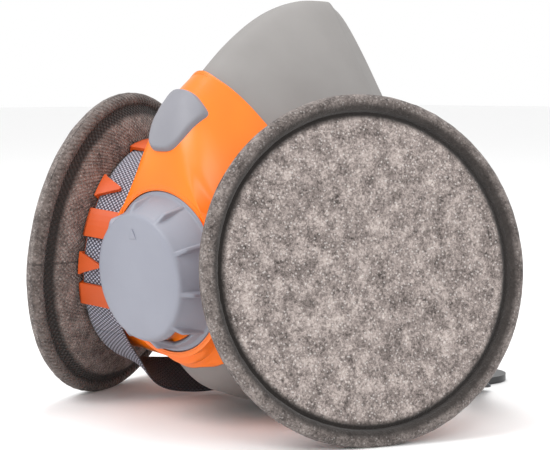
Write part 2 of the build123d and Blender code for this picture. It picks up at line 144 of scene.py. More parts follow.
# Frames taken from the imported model
@dataclass(frozen=True)
class AxisFrame:
    """Local frame on an axis, in millimetres of the mask's own frame: x and y across it, z along it."""

    origin: Array
    x: Array
    y: Array
    z: Array

    def point(self, across: Array | float, up: Array | float, depth: Array | float) -> Array:
        """Points at local coordinates, one row each."""
        across, up, depth = np.broadcast_arrays(across, up, depth)
        return self.origin + across[..., None] * self.x + up[..., None] * self.y + depth[..., None] * self.z

    def polar(self, angle: Array, radius: Array | float, depth: Array | float) -> Array:
        """Points at an angle in radians, a radius and a depth."""
        return self.point(radius * np.cos(angle), radius * np.sin(angle), depth)


def joint_place(name: str) -> tuple[Array, Array]:
    """Place in metres and unit axis of the record's joint of that name."""
    row = next(row for row in frame["joints"] if row["name"] == name)
    return np.array(row["pos_m"], float), unit(np.array(row["axis"], float))


RIGHT_PLACE, RIGHT_AXIS = joint_place("filter_right_turn")
LEFT_PLACE, LEFT_AXIS = joint_place("filter_left_turn")
VALVE_PLACE, VALVE_AXIS = joint_place("exhalation_cover_turn")
ORIGIN = (RIGHT_PLACE + LEFT_PLACE) / 2
FLOOR_Z = -ORIGIN[2] / MM


def axis_frame(place: Array, inward: Array, toward: Array, up: Array) -> AxisFrame:
    """Frame on an axis: z runs inward, x is nearest to toward and y is nearest to up."""
    x = unit(toward - inward * (toward @ inward))
    y = np.cross(inward, x)
    return AxisFrame((place - ORIGIN) / MM, x, y if y @ up > 0 else -y, inward)


FORWARD = np.array([0.0, -1.0, 0.0])
UP = np.array([0.0, 0.0, 1.0])
PODS = {
    Side.RIGHT: axis_frame(RIGHT_PLACE, -RIGHT_AXIS, FORWARD, UP),
    Side.LEFT: axis_frame(LEFT_PLACE, -LEFT_AXIS, FORWARD, UP),
}
VALVE = axis_frame(VALVE_PLACE, -VALVE_AXIS, np.array([1.0, 0.0, 0.0]), UP)


# Meshes
def grid_faces(rows: int, columns: int, wrap_rows: bool = False, wrap_columns: bool = False) -> Array:
    """Quads of a grid of points that is stored row by row, closed on itself where asked."""
    row = np.arange(rows if wrap_rows else rows - 1)
    column = np.arange(columns if wrap_columns else columns - 1)
    i, j = np.meshgrid(row, column, indexing="ij")
    k, m = (i + 1) % rows, (j + 1) % columns
    return np.stack([i * columns + j, i * columns + m, k * columns + m, k * columns + j], axis=-1).reshape(-1, 4)


def capped_tube(rows: int, half: int) -> Array:
    """Quads of a closed tube of loops, each out along half points and back along as many, with both ends capped."""
    columns = 2 * half
    faces = [grid_faces(rows, columns, wrap_columns=True)]
    for start in (0, (rows - 1) * columns):
        low = start + np.arange(half - 1)
        high = start + columns - 1 - np.arange(half - 1)
        quad = np.stack([low, low + 1, high - 1, high], axis=1)
        faces.append(quad if start else quad[:, ::-1])
    return np.concatenate(faces)


def signed_volume(points: Array, faces: Array) -> float:
    """Six times the volume between the quads and the middle of the points; negative when they face inward."""
    centred = points - points.mean(axis=0)
    a, b, c, d = (centred[faces[:, n]] for n in range(4))
    return float((np.cross(a, b) * c).sum() + (np.cross(a, c) * d).sum())


def put_mesh(name: str, points: Array, faces: Array, uv: Array | None = None, smooth: bool = True) -> Piece:
    """Make an object from points in mask millimetres, with its faces turned outward.

    Args:
        name: Name of the piece.
        points: Vertices, one row each.
        faces: Quads as vertex numbers.
        uv: Pattern coordinates of each vertex, in millimetres.
        smooth: Whether faces are shaded smooth.

    Returns:
        The new object, at the origin, with its place in its mesh.
    """
    points = np.asarray(points, float).reshape(-1, 3)
    faces = np.asarray(faces)
    if signed_volume(points, faces) < 0:
        faces = faces[:, ::-1]
    mesh = bpy.data.meshes.new(name)
    mesh.from_pydata((points * MM + ORIGIN).tolist(), [], faces.tolist())
    if uv is not None:
        layer = mesh.uv_layers.new(name="weave")
        corner = np.zeros(len(mesh.loops), int)
        mesh.loops.foreach_get("vertex_index", corner)
        layer.data.foreach_set("uv", np.asarray(uv, float).reshape(-1, 2)[corner].ravel())
    mesh.polygons.foreach_set("use_smooth", np.full(len(mesh.polygons), smooth))
    mesh.validate()
    mesh.update()
    piece = bpy.data.objects.new(name, mesh)
    bpy.context.scene.collection.objects.link(piece)
    return piece


def close_poles(piece: Piece) -> None:
    """Merge points that lie on each other, so that poles and seams are closed."""
    shape = bmesh.new()
    shape.from_mesh(piece.data)
    bmesh.ops.remove_doubles(shape, verts=shape.verts, dist=1e-6)
    bmesh.ops.dissolve_degenerate(shape, edges=shape.edges, dist=1e-7)
    bmesh.ops.recalc_face_normals(shape, faces=shape.faces)
    shape.to_mesh(piece.data)
    shape.free()


def solidify(piece: Piece, thickness: float, offset: float = -1.0) -> None:
    """Give an open sheet of a piece a wall, in millimetres, inward of its faces."""
    wall = piece.modifiers.new("wall", "SOLIDIFY")
    wall.thickness = thickness * MM
    wall.offset = offset
    wall.use_even_offset = False


def dress(piece: Piece, material: Material, body: str, slot: str, *nodes: str) -> None:
    """Give a piece its finish, its body and the CAD nodes that it stands for."""
    piece.data.materials.clear()
    piece.data.materials.append(material)
    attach(piece, body)
    if nodes:
        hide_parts(*nodes)
    log.info("%s rides on %s", piece.name, body)


def turned(name: str, base: AxisFrame, profile: Array, sides: int, ripple: Array | None = None) -> Piece:
    """Surface of revolution: the (radius, depth) profile carried round the axis, plus a radial ripple.

    Args:
        name: Name of the piece.
        base: Frame whose z is the axis.
        profile: Radius and depth of each ring, in millimetres.
        sides: Points round the axis.
        ripple: Radius and depth added at each (ring, side), or nothing.

    Returns:
        The new object.
    """
    angle = full_turn(sides)
    radius = np.repeat(profile[:, :1], sides, axis=1)
    depth = np.repeat(profile[:, 1:], sides, axis=1)
    if ripple is not None:
        radius = radius + ripple[..., 0]
        depth = depth + ripple[..., 1]
    points = base.polar(angle[None, :], radius, depth)
    around = np.minimum(angle, 2 * pi - angle)[None, :] * np.full_like(radius, ARC_RADIUS)
    uv = np.stack([radius, around], axis=-1)
    piece = put_mesh(name, points, grid_faces(len(profile), sides, wrap_columns=True), uv)
    close_poles(piece)
    return piece


def soft_profile(knots: list[tuple[float, float]], samples: int) -> Array:
    """Smooth profile through (radius, depth) knots, evenly stepped along its chords."""
    rows = np.array(knots, float)
    length = run_along(rows)
    return cubic_through(length, rows, np.linspace(0, length[-1], samples))


def value_noise(shape: tuple[int, int], cells: tuple[int, int], seed: int) -> Array:
    """Smooth random field on a grid that closes on itself along its second axis, from -1 to 1."""
    random = np.random.default_rng(seed)
    knots = random.uniform(-1, 1, cells)
    row = np.linspace(0, cells[0] - 1, shape[0])
    column = np.arange(shape[1]) / shape[1] * cells[1]
    i, j = row.astype(int).clip(0, cells[0] - 2), column.astype(int)
    u, v = smoothstep(row - i, 0, 1)[:, None], smoothstep(column - j, 0, 1)[None, :]
    k = (j + 1) % cells[1]
    low = knots[i][:, j] * (1 - v) + knots[i][:, k] * v
    high = knots[i + 1][:, j] * (1 - v) + knots[i + 1][:, k] * v
    return low * (1 - u) + high * u


# Finishes
def linear(code: str) -> tuple[float, float, float, float]:
    """Linear colour of an sRGB hex code such as FF8A00."""
    share = np.array([int(code[n:n + 2], 16) for n in (0, 2, 4)]) / 255
    value = np.where(share <= 0.04045, share / 12.92, ((share + 0.055) / 1.055) ** 2.4)
    return (*value.tolist(), 1.0)


def set_inputs(tree: Tree, node: Node, inputs: dict) -> None:
    """Put a value, or a link from a socket, on each input of a node that is named or numbered."""
    for name, value in inputs.items():
        if isinstance(value, bpy.types.NodeSocket):
            tree.links.new(value, node.inputs[name])
        else:
            node.inputs[name].default_value = value


def add_node(tree: Tree, kind: str, inputs: dict, stops: list[tuple[float, str]] | None = None, **settings) -> Node:
    """Add a shader node with its settings and inputs; stops are a colour ramp's places and sRGB hex codes."""
    node = tree.nodes.new(f"ShaderNode{kind}")
    for name, value in settings.items():
        setattr(node, name, value)
    set_inputs(tree, node, inputs)
    if stops:
        elements = node.color_ramp.elements
        while len(elements) < len(stops):
            elements.new(0.5)
        for element, (place, code) in zip(elements, stops):
            element.position = place
            element.color = linear(code)
    return node


def cells_per_metre(size_mm: float) -> float:
    """Noise scale whose features are about size_mm wide."""
    return 1.0 / (size_mm * MM)


def start_material(name: str) -> tuple[Material, Tree, Node, Node]:
    """New node material; returns it with its tree, its shader and its coordinates."""
    material = bpy.data.materials.new(name)
    material.use_nodes = True
    tree = material.node_tree
    shader = tree.nodes["Principled BSDF"]
    return material, tree, shader, add_node(tree, "TexCoord", {})


def crossed_waves(tree: Tree, split: Node, wave_mm: float) -> Node:
    """Small grid on the piece's pattern coordinates: the product of a sine along each of them."""
    waves = []
    for axis in ("X", "Y"):
        turn = add_node(tree, "Math", {0: split.outputs[axis], 1: 2 * pi / wave_mm}, operation="MULTIPLY")
        waves.append(add_node(tree, "Math", {0: turn.outputs[0]}, operation="SINE"))
    return add_node(tree, "Math", {0: waves[0].outputs[0], 1: waves[1].outputs[0]}, operation="MULTIPLY")


@dataclass(frozen=True)
class MouldedPlastic:
    """Injection-moulded plastic: an even colour with faint flow mottling and the fine grain of a spark-eroded mould."""

    name: str
    colour: str
    shade: str
    roughness: float = 0.4
    grain_mm: float = 0.5
    grain_height: float = 0.02
    flow_mm: float = 22.0
    ior: float = 1.53
    glow: float = 0.0

    def material(self) -> Material:
        """Node material of this plastic."""
        material, tree, shader, place = start_material(self.name)
        spot = place.outputs["Object"]
        flow = add_node(tree, "TexNoise", {
            "Vector": spot, "Scale": cells_per_metre(self.flow_mm), "Detail": 3.0})
        colour = add_node(tree, "ValToRGB", {"Fac": flow.outputs["Fac"]},
                          [(0.3, self.shade), (0.62, self.colour)])
        grain = add_node(tree, "TexNoise", {
            "Vector": spot, "Scale": cells_per_metre(self.grain_mm), "Detail": 4.0})
        rough = add_node(tree, "MapRange", {
            "Value": grain.outputs["Fac"], "To Min": self.roughness - 0.05, "To Max": self.roughness + 0.07})
        bump = add_node(tree, "Bump", {
            "Height": grain.outputs["Fac"], "Distance": self.grain_height * MM, "Strength": 0.6})
        set_inputs(tree, shader, {"Base Color": colour.outputs["Color"], "Roughness": rough.outputs["Result"],
                                  "Normal": bump.outputs["Normal"], "IOR": self.ior})
        if self.glow:
            set_inputs(tree, shader, {"Subsurface Weight": self.glow, "Subsurface Scale": 0.003})
        return material


@dataclass(frozen=True)
class NeedledFelt:
    """Needle-punched felt loaded with carbon: dark clumps, grey fibres and light binder fibres on a soft nap.

    The rolled rim is darker: partly its own compressed felt, partly painted shade in the crease inside it.
    That darkening is read from the piece's own coordinates, whose first number is the radius in millimetres.
    """

    name: str
    dark: str
    middle: str
    light: str
    speck: str
    pressed_and_shade: str
    fibre_mm: float = 0.42
    clump_mm: float = 5.0
    nap_mm: float = 0.5
    knurl_mm: float = 0.0
    seam_mm: float = 0.3

    def material(self) -> Material:
        """Node material of this felt; a knurled one also has fine crossed press marks and one seam line."""
        material, tree, shader, place = start_material(self.name)
        spot = place.outputs["Object"]
        clump = add_node(tree, "TexNoise", {
            "Vector": spot, "Scale": cells_per_metre(self.clump_mm), "Detail": 4.0, "Roughness": 0.6})
        fibre = add_node(tree, "TexNoise", {
            "Vector": spot, "Scale": cells_per_metre(self.fibre_mm * 2), "Detail": 3.0, "Roughness": 0.8,
            "Distortion": 0.6})
        broad = add_node(tree, "Math", {0: clump.outputs["Fac"], 1: 0.42}, operation="MULTIPLY")
        small = add_node(tree, "Math", {0: fibre.outputs["Fac"], 1: 0.58}, operation="MULTIPLY")
        both = add_node(tree, "Math", {0: broad.outputs[0], 1: small.outputs[0]}, operation="ADD")
        base = add_node(tree, "ValToRGB", {"Fac": both.outputs[0]},
                        [(0.36, self.dark), (0.48, self.middle), (0.62, self.light)])
        cell = add_node(tree, "TexVoronoi", {
            "Vector": spot, "Scale": cells_per_metre(self.fibre_mm * 3), "Randomness": 1.0})
        point = add_node(tree, "ValToRGB", {"Fac": cell.outputs["Distance"]},
                         [(0.12, "B0B0B0"), (0.3, "000000")])
        speckled = add_node(tree, "MixRGB", {
            "Fac": point.outputs["Color"], "Color1": base.outputs["Color"], "Color2": linear(self.speck)})
        split = add_node(tree, "SeparateXYZ", {"Vector": place.outputs["UV"]})
        radius = add_node(tree, "Math", {0: split.outputs["X"], 1: RIM_SPAN}, operation="DIVIDE")
        # Rim ramp by radius: the compressed rim's own darker felt, with painted shade in the crease inside it.
        shades = ((44.9, "000000"), (46.3, "FFFFFF"), (49.2, "F8F8F8"), (50.4, "C4C4C4"), (51.6, "B0B0B0"))
        rim = add_node(tree, "ValToRGB", {"Fac": radius.outputs[0]},
                       [(place_mm / RIM_SPAN, shade) for place_mm, shade in shades])
        pressed_and_shade = add_node(tree, "MixRGB", {
            "Fac": rim.outputs["Color"], "Color1": speckled.outputs["Color"], "Color2": linear(self.pressed_and_shade)})
        height = add_node(tree, "Math", {0: fibre.outputs["Fac"], 1: point.outputs["Color"]},
                          operation="ADD")
        if self.knurl_mm:
            marks = crossed_waves(tree, split, self.knurl_mm)
            height = add_node(tree, "Math", {0: marks.outputs[0], 1: height.outputs[0]}, operation="ADD")
            line = add_node(tree, "Math", {0: split.outputs["Y"], 1: self.seam_mm}, operation="LESS_THAN")
            weak = add_node(tree, "Math", {0: line.outputs[0], 1: 0.6}, operation="MULTIPLY")
            pressed_and_shade = add_node(tree, "MixRGB", {
                "Fac": weak.outputs[0], "Color1": pressed_and_shade.outputs["Color"], "Color2": linear(self.pressed_and_shade)})
        bump = add_node(tree, "Bump", {
            "Height": height.outputs[0], "Distance": self.nap_mm * MM, "Strength": 0.7})
        set_inputs(tree, shader, {
            "Base Color": pressed_and_shade.outputs["Color"], "Normal": bump.outputs["Normal"], "Roughness": 0.95,
            "Specular IOR Level": 0.15, "Sheen Weight": 0.12, "Sheen Roughness": 0.6})
        return material


@dataclass(frozen=True)
class WovenWebbing:
    """Plain-woven elastic webbing: light and dark threads cross each other, so it reads as a small grid.

    The threads are drawn coarser than real ones, because those would be too fine to show.
    """

    name: str
    warp: str
    weft: str
    gap: str
    underside: str = "1B1B20"
    thread_mm: float = 0.72
    relief_mm: float = 0.35

    def material(self) -> Material:
        """Node material of this webbing, on the piece's own pattern coordinates."""
        material, tree, shader, place = start_material(self.name)
        split = add_node(tree, "SeparateXYZ", {"Vector": place.outputs["UV"]})
        cross = crossed_waves(tree, split, 2 * self.thread_mm)
        over = add_node(tree, "MapRange", {"Value": cross.outputs[0], "From Min": -0.35, "From Max": 0.35})
        size = add_node(tree, "Math", {0: cross.outputs[0]}, operation="ABSOLUTE")
        threads = add_node(tree, "MixRGB", {
            "Fac": over.outputs["Result"], "Color1": linear(self.warp), "Color2": linear(self.weft)})
        joined = add_node(tree, "MapRange", {"Value": size.outputs[0], "From Min": 0.02, "From Max": 0.3})
        colour = add_node(tree, "MixRGB", {
            "Fac": joined.outputs["Result"], "Color1": linear(self.gap), "Color2": threads.outputs["Color"]})
        bump = add_node(tree, "Bump", {
            "Height": size.outputs[0], "Distance": self.relief_mm * MM, "Strength": 0.8})
        below = add_node(tree, "Math", {0: split.outputs["Y"], 1: UNDERSIDE_FROM},
                         operation="GREATER_THAN")
        dark = add_node(tree, "MixRGB", {
            "Fac": 0.93, "Color1": colour.outputs["Color"], "Color2": linear(self.underside)})
        both = add_node(tree, "MixRGB", {
            "Fac": below.outputs[0], "Color1": colour.outputs["Color"], "Color2": dark.outputs["Color"]})
        set_inputs(tree, shader, {"Base Color": both.outputs["Color"], "Normal": bump.outputs["Normal"],
                                  "Roughness": 0.8, "Sheen Weight": 0.2})
        return material


class Finishes:
    """Every finish of the mask, made once."""

    def __init__(self) -> None:
        """Make the materials."""
        self.shell = MouldedPlastic("abs_orange_satin", "FF7A00", "FC7200", 0.34, 0.4, 0.012).material()
        # The guides' orange is darkened as painted shade, for the shadow that the filter discs cast on them.
        self.guide = MouldedPlastic("polypropylene_orange", "CC5002", "C04A00", 0.42, 0.5, 0.02).material()
        self.cover = MouldedPlastic("abs_grey_fine_texture", "8A8C97", "848691", 0.44, 0.45, 0.03).material()
        self.brow = MouldedPlastic("abs_grey_brow", "84848B", "7D7D84", 0.5, 0.45, 0.03).material()
        self.facepiece = MouldedPlastic("tpe_warm_grey_matt", "8B8886", "84817F", 0.6, 0.6, 0.03, ior=1.48).material()
        # The last colour of each felt darkens its rolled rim: the compressed felt's own darker tone, and painted shade
        # in the rim's crease.
        self.felt_front = NeedledFelt("carbon_felt_front", "3C3633", "7E7470", "BBAFA9", "EDE7E3", "2B2725").material()
        self.felt_back = NeedledFelt("carbon_felt_back", "3E3633", "70645F", "9C8E88", "CCC2BD", "2A2523",
                                     knurl_mm=1.5).material()
        self.webbing = WovenWebbing("elastic_webbing", "454654", "C2C4D4", "2A2B33").material()
        self.black = MouldedPlastic("nylon_black", "141517", "101112", 0.42, 0.5, 0.02).material()
        self.acetal = MouldedPlastic("acetal_black", "17181A", "131415", 0.36, 0.5, 0.02).material()
        self.silicone = MouldedPlastic("silicone_translucent", "D5D6D4", "CBCCCA", 0.4, 0.8, 0.01, ior=1.41,
                                       glow=0.2).material()
        self.media = NeedledFelt("microfibre_media", "8D8A84", "C6C3BC", "DAD7D0", "E6E3DD", "B0ADA6").material()


# The mask's outer form
@dataclass
class MaskForm:
    """Outer form of the mask: superellipse sections that grow from the valve to the face."""

    depth: Array = table(-29.5, -27.1, -22, -17, -12, 0, 15, 30, 45, 62.0)
    top: Array = table(31.0, 37.0, 48.0, 53.2, 57.4, 68.2, 77.9, 82.6, 83.0, 81.8)
    bottom: Array = table(24, 27, 30, 33.0, 39.8, 46.0, 50, 51.9, 52, 52.0)
    half: Array = table(14, 17.5, 21.5, 24.6, 27.0, 31.5, 38.4, 44.3, 46.8, 46.8)
    waist: Array = table(4, 4, 5, 5.6, 6.0, 3.0, -4.0, -8.0, -10.0, -10.0)
    upper: Array = table(1.8, 1.7, 1.52, 1.44, 1.38, 1.36, 1.36, 1.32, 1.25, 1.25)
    ridge: float = 2.5

    def section(self, depth: Array) -> tuple[Array, ...]:
        """Top, bottom, half width, waist height and roundness at a depth."""
        rows = np.stack([self.top, self.bottom, self.half, self.waist, self.upper], axis=1)
        values = cubic_through(self.depth, rows, depth)
        return tuple(values[..., n] for n in range(5))

    def at(self, depth: Array, angle: Array, grow: Array) -> Array:
        """Points on the form: angle 0 is the ridge, 90 degrees the +X side; grow is the distance outside it."""
        depth, angle, grow = np.broadcast_arrays(np.asarray(depth, float), angle, np.asarray(grow, float))
        top, bottom, half, waist, upper = self.section(depth)
        level, across = np.cos(angle), np.sin(angle)
        power = np.where(level > 0, upper, SECTION_BELOW)
        height = np.where(level > 0, top + grow - waist, waist + bottom + grow)
        full = half + grow
        x = full * np.sign(across) * np.abs(across) ** (2 / power)
        z_share = np.abs(level) ** (2 / power)
        widest = np.sqrt(full * full + 2 * full * self.ridge)
        rounded = np.sign(x) * np.sqrt(x * x + 2 * np.abs(x) * self.ridge) * full / widest
        x = np.where(level > 0, rounded, x)
        z = waist + height * np.sign(level) * z_share
        return np.stack([x, depth, z], axis=-1)

    def inside(self, points: Array, grow: float) -> Array:
        """Below 0 inside the grown form, above 0 outside it."""
        top, bottom, half, waist, upper = self.section(points[..., 1])
        level = points[..., 2] - waist
        power = np.where(level > 0, upper, SECTION_BELOW)
        height = np.where(level > 0, top + grow - waist, waist + bottom + grow)
        full = half + grow
        widest = np.sqrt(full * full + 2 * full * self.ridge)
        sharp = np.sqrt(self.ridge**2 + (points[..., 0] * widest / full) ** 2) - self.ridge
        across = np.where(level > 0, sharp, np.abs(points[..., 0]))
        return (across / full) ** power + (np.abs(level) / height) ** power - 1

    def meet(self, start: Array, direction: Array, reach: float, grow: float) -> Array:
        """Where rays from outside first meet the grown form, by halving a bracket found in even steps."""
        steps = np.linspace(0, reach, BRACKETS)
        trial = start[..., None, :] + steps[:, None] * direction
        inside = self.inside(trial, grow) < 0
        first = np.where(inside.any(axis=-1), inside.argmax(axis=-1), len(steps) - 1).clip(1)
        low, high = steps[first - 1], steps[first]
        for _ in range(HALVINGS):
            middle = (low + high) / 2
            hit = self.inside(start + middle[..., None] * direction, grow) < 0
            high = np.where(hit, middle, high)
            low = np.where(hit, low, middle)
        return start + ((low + high) / 2)[..., None] * direction


FORM = MaskForm()


def follow_line(line: Array, angle: Array, grow: float, start: float) -> Array:
    """Depth at which the form meets a side-view line (depth, height), by repeated substitution."""
    order = np.argsort(line[:, 1])
    depth = np.full_like(angle, start)
    for _ in range(SUBSTITUTIONS):
        height = FORM.at(depth, angle, grow)[..., 2]
        depth = 0.5 * depth + 0.5 * cubic_through(line[order, 1], line[order, 0], height)
    return depth


# Sub-assemblies
@dataclass
class Facepiece:
    """Soft facepiece: a thin moulded wall with a rolled rim and an in-turned sealing lip."""

    finishes: Finishes
    wall: float = 2.4
    front: float = -21.0
    sides: int = 192
    rim_line: Array = table(
        (45.6, 82.0), (46.6, 66.0), (48.5, 50.0), (53.5, 33.0), (56.5, 18.0), (57.5, 3.0), (56.5, -11.0),
        (51.5, -25.0), (43.0, -38.0), (34.0, -46.0), (27.0, -52.5))

    def build(self) -> Piece:
        """Carry the wall's profile round the form: outer wall, rolled rim, lip, inner wall."""
        angle = full_turn(self.sides)
        rim = follow_line(self.rim_line, angle, 0.0, 50.0)
        outer = np.linspace(0, 1, 44)
        roll = np.linspace(0.05, 1, 7) * pi
        lip = np.array([(-2.5, -6.2), (-5.5, -8.6), (-8.0, -9.9), (-9.2, -10.2), (-9.6, -9.2), (-8.6, -7.4),
                        (-7.4, -5.2), (-7.8, -3.6), (-10.0, -2.7)])
        inner = np.linspace(1, 0, 34)
        rows = []
        band = 2.0 + 3.6 * smoothstep(np.abs(np.sin(angle)), 0.02, 0.5)
        for share in outer:
            rows.append(FORM.at(self.front + (rim - band - self.front) * share, angle, 0.0))
        for share in (0.06, 0.14, 0.5, 0.9, 1.0):
            rows.append(FORM.at(rim - band * (1 - share), angle, -0.12 - 1.9 * share))
        for turn in roll:
            rows.append(FORM.at(rim + 1.0 * sin(turn), angle, -3.0 + 1.0 * cos(turn)))
        for back, grow in lip:
            rows.append(FORM.at(rim + back, angle, grow))
        for share in inner[2:]:
            rows.append(FORM.at(self.front + (rim - 10.0 - self.front) * share, angle, -self.wall))
        points = np.stack(rows)
        points[..., 2] = np.maximum(points[..., 2], FLOOR_Z + 0.15)
        piece = put_mesh("facepiece_soft", points, grid_faces(len(rows), self.sides, True, True))
        self.open_ports(piece)
        dress(piece, self.finishes.facepiece, "mask", "facepiece_tpe", "facepiece")
        return piece

    def open_ports(self, piece: Piece) -> None:
        """Cut the round openings that lead to the two inhalation valves."""
        cutters = []
        for side, pod in PODS.items():
            turn = full_turn(64)
            drum = ((0.01, 26.0), (17.5, 26.0), (17.5, 46.0), (0.01, 46.0))
            rings = np.stack([pod.polar(turn, radius, depth) for radius, depth in drum])
            cutter = put_mesh(f"port_cutter_{side.word}", rings, grid_faces(4, 64, wrap_columns=True))
            close_poles(cutter)
            cut = piece.modifiers.new("port", "BOOLEAN")
            cut.operation = "DIFFERENCE"
            cut.solver = "EXACT"
            cut.object = cutter
            cutters.append(cutter)
        bpy.context.view_layer.update()
        evaluated = piece.evaluated_get(bpy.context.evaluated_depsgraph_get())
        opened = bpy.data.meshes.new_from_object(evaluated)
        piece.modifiers.clear()
        piece.data = opened
        for cutter in cutters:
            bpy.data.objects.remove(cutter)


@dataclass
class FrontShell:
    """Rigid shell: rises from the valve's rim, follows the form outside the facepiece and ends in a stepped edge."""

    finishes: Finishes
    grow: float = 2.4
    least_run: float = 1.4
    sides: int = 256
    stations: int = 90
    edge_line: Array = table(
        (-12.8, 64.0), (-12.5, 59.5), (-11.4, 57.0), (-9.3, 54.0), (-6.3, 49.0), (-3.4, 43.5), (1.4, 35.0),
        (7.0, 23.0), (10.6, 10.0), (10.6, -6.0), (7.0, -17.0), (0.0, -25.0), (-8.0, -30.0), (-17.0, -34.0),
        (-20.5, -37.0), (-22.0, -42.0))

    def build(self) -> Piece:
        """Rings from the valve's opening to the rear edge, joined by a cubic along each meridian."""
        angle = full_turn(self.sides)
        edge = follow_line(self.edge_line, angle, self.grow, -5.0)
        high = smoothstep(np.cos(angle), 0.0, 0.75)[:, None]
        around = pi / 2 - angle

        def circle(radius: float, depth: float) -> Array:
            """Ring about the valve's axis."""
            return VALVE.polar(around, radius, depth)

        rings = [
            circle(25.9, 13.4),
            circle(26.0, 12.0),
            circle(26.5, 11.4),
            circle(27.4, 11.9) * (1 - high) + (circle(27.6, 11.6) * 0.8 + FORM.at(-28.6, angle, 1.4) * 0.2) * high,
            circle(27.3, 13.6) * (1 - high) + (circle(29.0, 11.9) * 0.4 + FORM.at(-28.4, angle, 1.9) * 0.6) * high,
            FORM.at(-20.6, angle, self.grow + 0.5) * (1 - high) + FORM.at(-27.1, angle, self.grow) * high,
        ]
        start = -18.9 * (1 - high[:, 0]) - 25.0 * high[:, 0]
        last = np.maximum(edge, start + self.least_run)
        for share in np.linspace(0, 1, 9):
            rings.append(FORM.at(start + (last - start) * share, angle, self.grow))
        knots = np.arange(len(rings), dtype=float)
        fine = np.linspace(0, knots[-1], self.stations)
        points = cubic_through(knots, np.stack(rings).reshape(len(rings), -1), fine).reshape(-1, self.sides, 3)
        points = self.soften(points, smoothstep(fine, 3.0, 6.0))
        lip = [FORM.at(last + step, angle, grow) for step, grow in ((0.35, 2.25), (0.6, 1.8), (0.62, 1.0), (0.6, 0.2))]
        points = np.concatenate([points, np.stack(lip)])
        piece = put_mesh("front_shell_moulding", points, grid_faces(len(points), self.sides, wrap_columns=True))
        solidify(piece, 1.2)
        dress(piece, self.finishes.shell, "mask", "shell_orange", "front_shell")
        return piece

    def soften(self, points: Array, share: Array) -> Array:
        """Round the ridges along the meridians: a moving mean over neighbours round the ring, mixed in by share."""
        reach = 9
        mean = sum(np.roll(points, step, axis=1) for step in range(-reach, reach + 1)) / (2 * reach + 1)
        mean[..., 1] = points[..., 1]
        return points + (mean - points) * share[:, None, None]

    def bosses(self) -> None:
        """Flares that carry each cheek drum's edge down to the form."""
        for side, pod in PODS.items():
            turn = full_turn(160)
            rows = [pod.polar(turn, radius, depth) for radius, depth in ((33.9, 25.5), (33.95, 27.4))]
            foot = FORM.meet(pod.polar(turn, 35.4, 26.0), pod.z, 40.0, 0.5)
            middle = (rows[-1] + foot) / 2
            rows += [rows[-1] * 0.6 + middle * 0.4, middle, foot]
            piece = put_mesh(f"cheek_flare_{side.word}", np.stack(rows),
                             grid_faces(len(rows), len(turn), wrap_columns=True))
            solidify(piece, 1.0, 0.0)
            dress(piece, self.finishes.shell, "mask", "shell_orange")


@dataclass
class TopCover:
    """Grey brow cover: a soft-edged plate that follows the shell and stands proud of it."""

    finishes: Finishes
    proud: float = 1.5
    middle: tuple[float, float, float] = (0.0, -24.9, 45.0)
    stand_off: float = 16.0
    shell_grow: float = 2.4
    outline: list[tuple[float, float]] = field(default_factory=lambda: [
        (-4.6, 9.6), (4.6, 9.6), (10.6, 5.0), (10.8, 2.6), (6.0, -10.6), (-6.0, -10.6), (-10.8, 2.6),
        (-10.6, 5.4)])

    def build(self) -> Piece:
        """Rings of the outline, shrunk towards the middle and raised from the shell by a rounded shoulder."""
        edge = rounded_outline(self.outline, 3)
        normal = unit(np.array([0.0, -0.823, 0.567]))
        rise = np.array([0.0, 0.567, 0.823])
        sideways = np.array([1.0, 0, 0])
        rows = []
        for scale, height in ((1.03, -0.6), (1.02, 0.5), (1.0, 1.2), (0.985, 1.65), (0.955, 1.92), (0.92, 2.0),
                              (0.7, 2.0), (0.5, 2.0), (0.3, 2.0), (0.12, 2.0), (0.001, 2.0)):
            flat = edge * scale
            start = np.array(self.middle) + flat[:, :1] * sideways + flat[:, 1:] * rise + normal * self.stand_off
            surface = FORM.meet(start, -normal, 60.0, self.shell_grow)
            rows.append(surface + normal * (height / 2.0 * self.proud))
        piece = put_mesh("top_cover_plate", np.stack(rows), grid_faces(len(rows), len(edge), wrap_columns=True))
        close_poles(piece)
        dress(piece, self.finishes.brow, "mask", "cover_grey", "top_cover")
        return piece


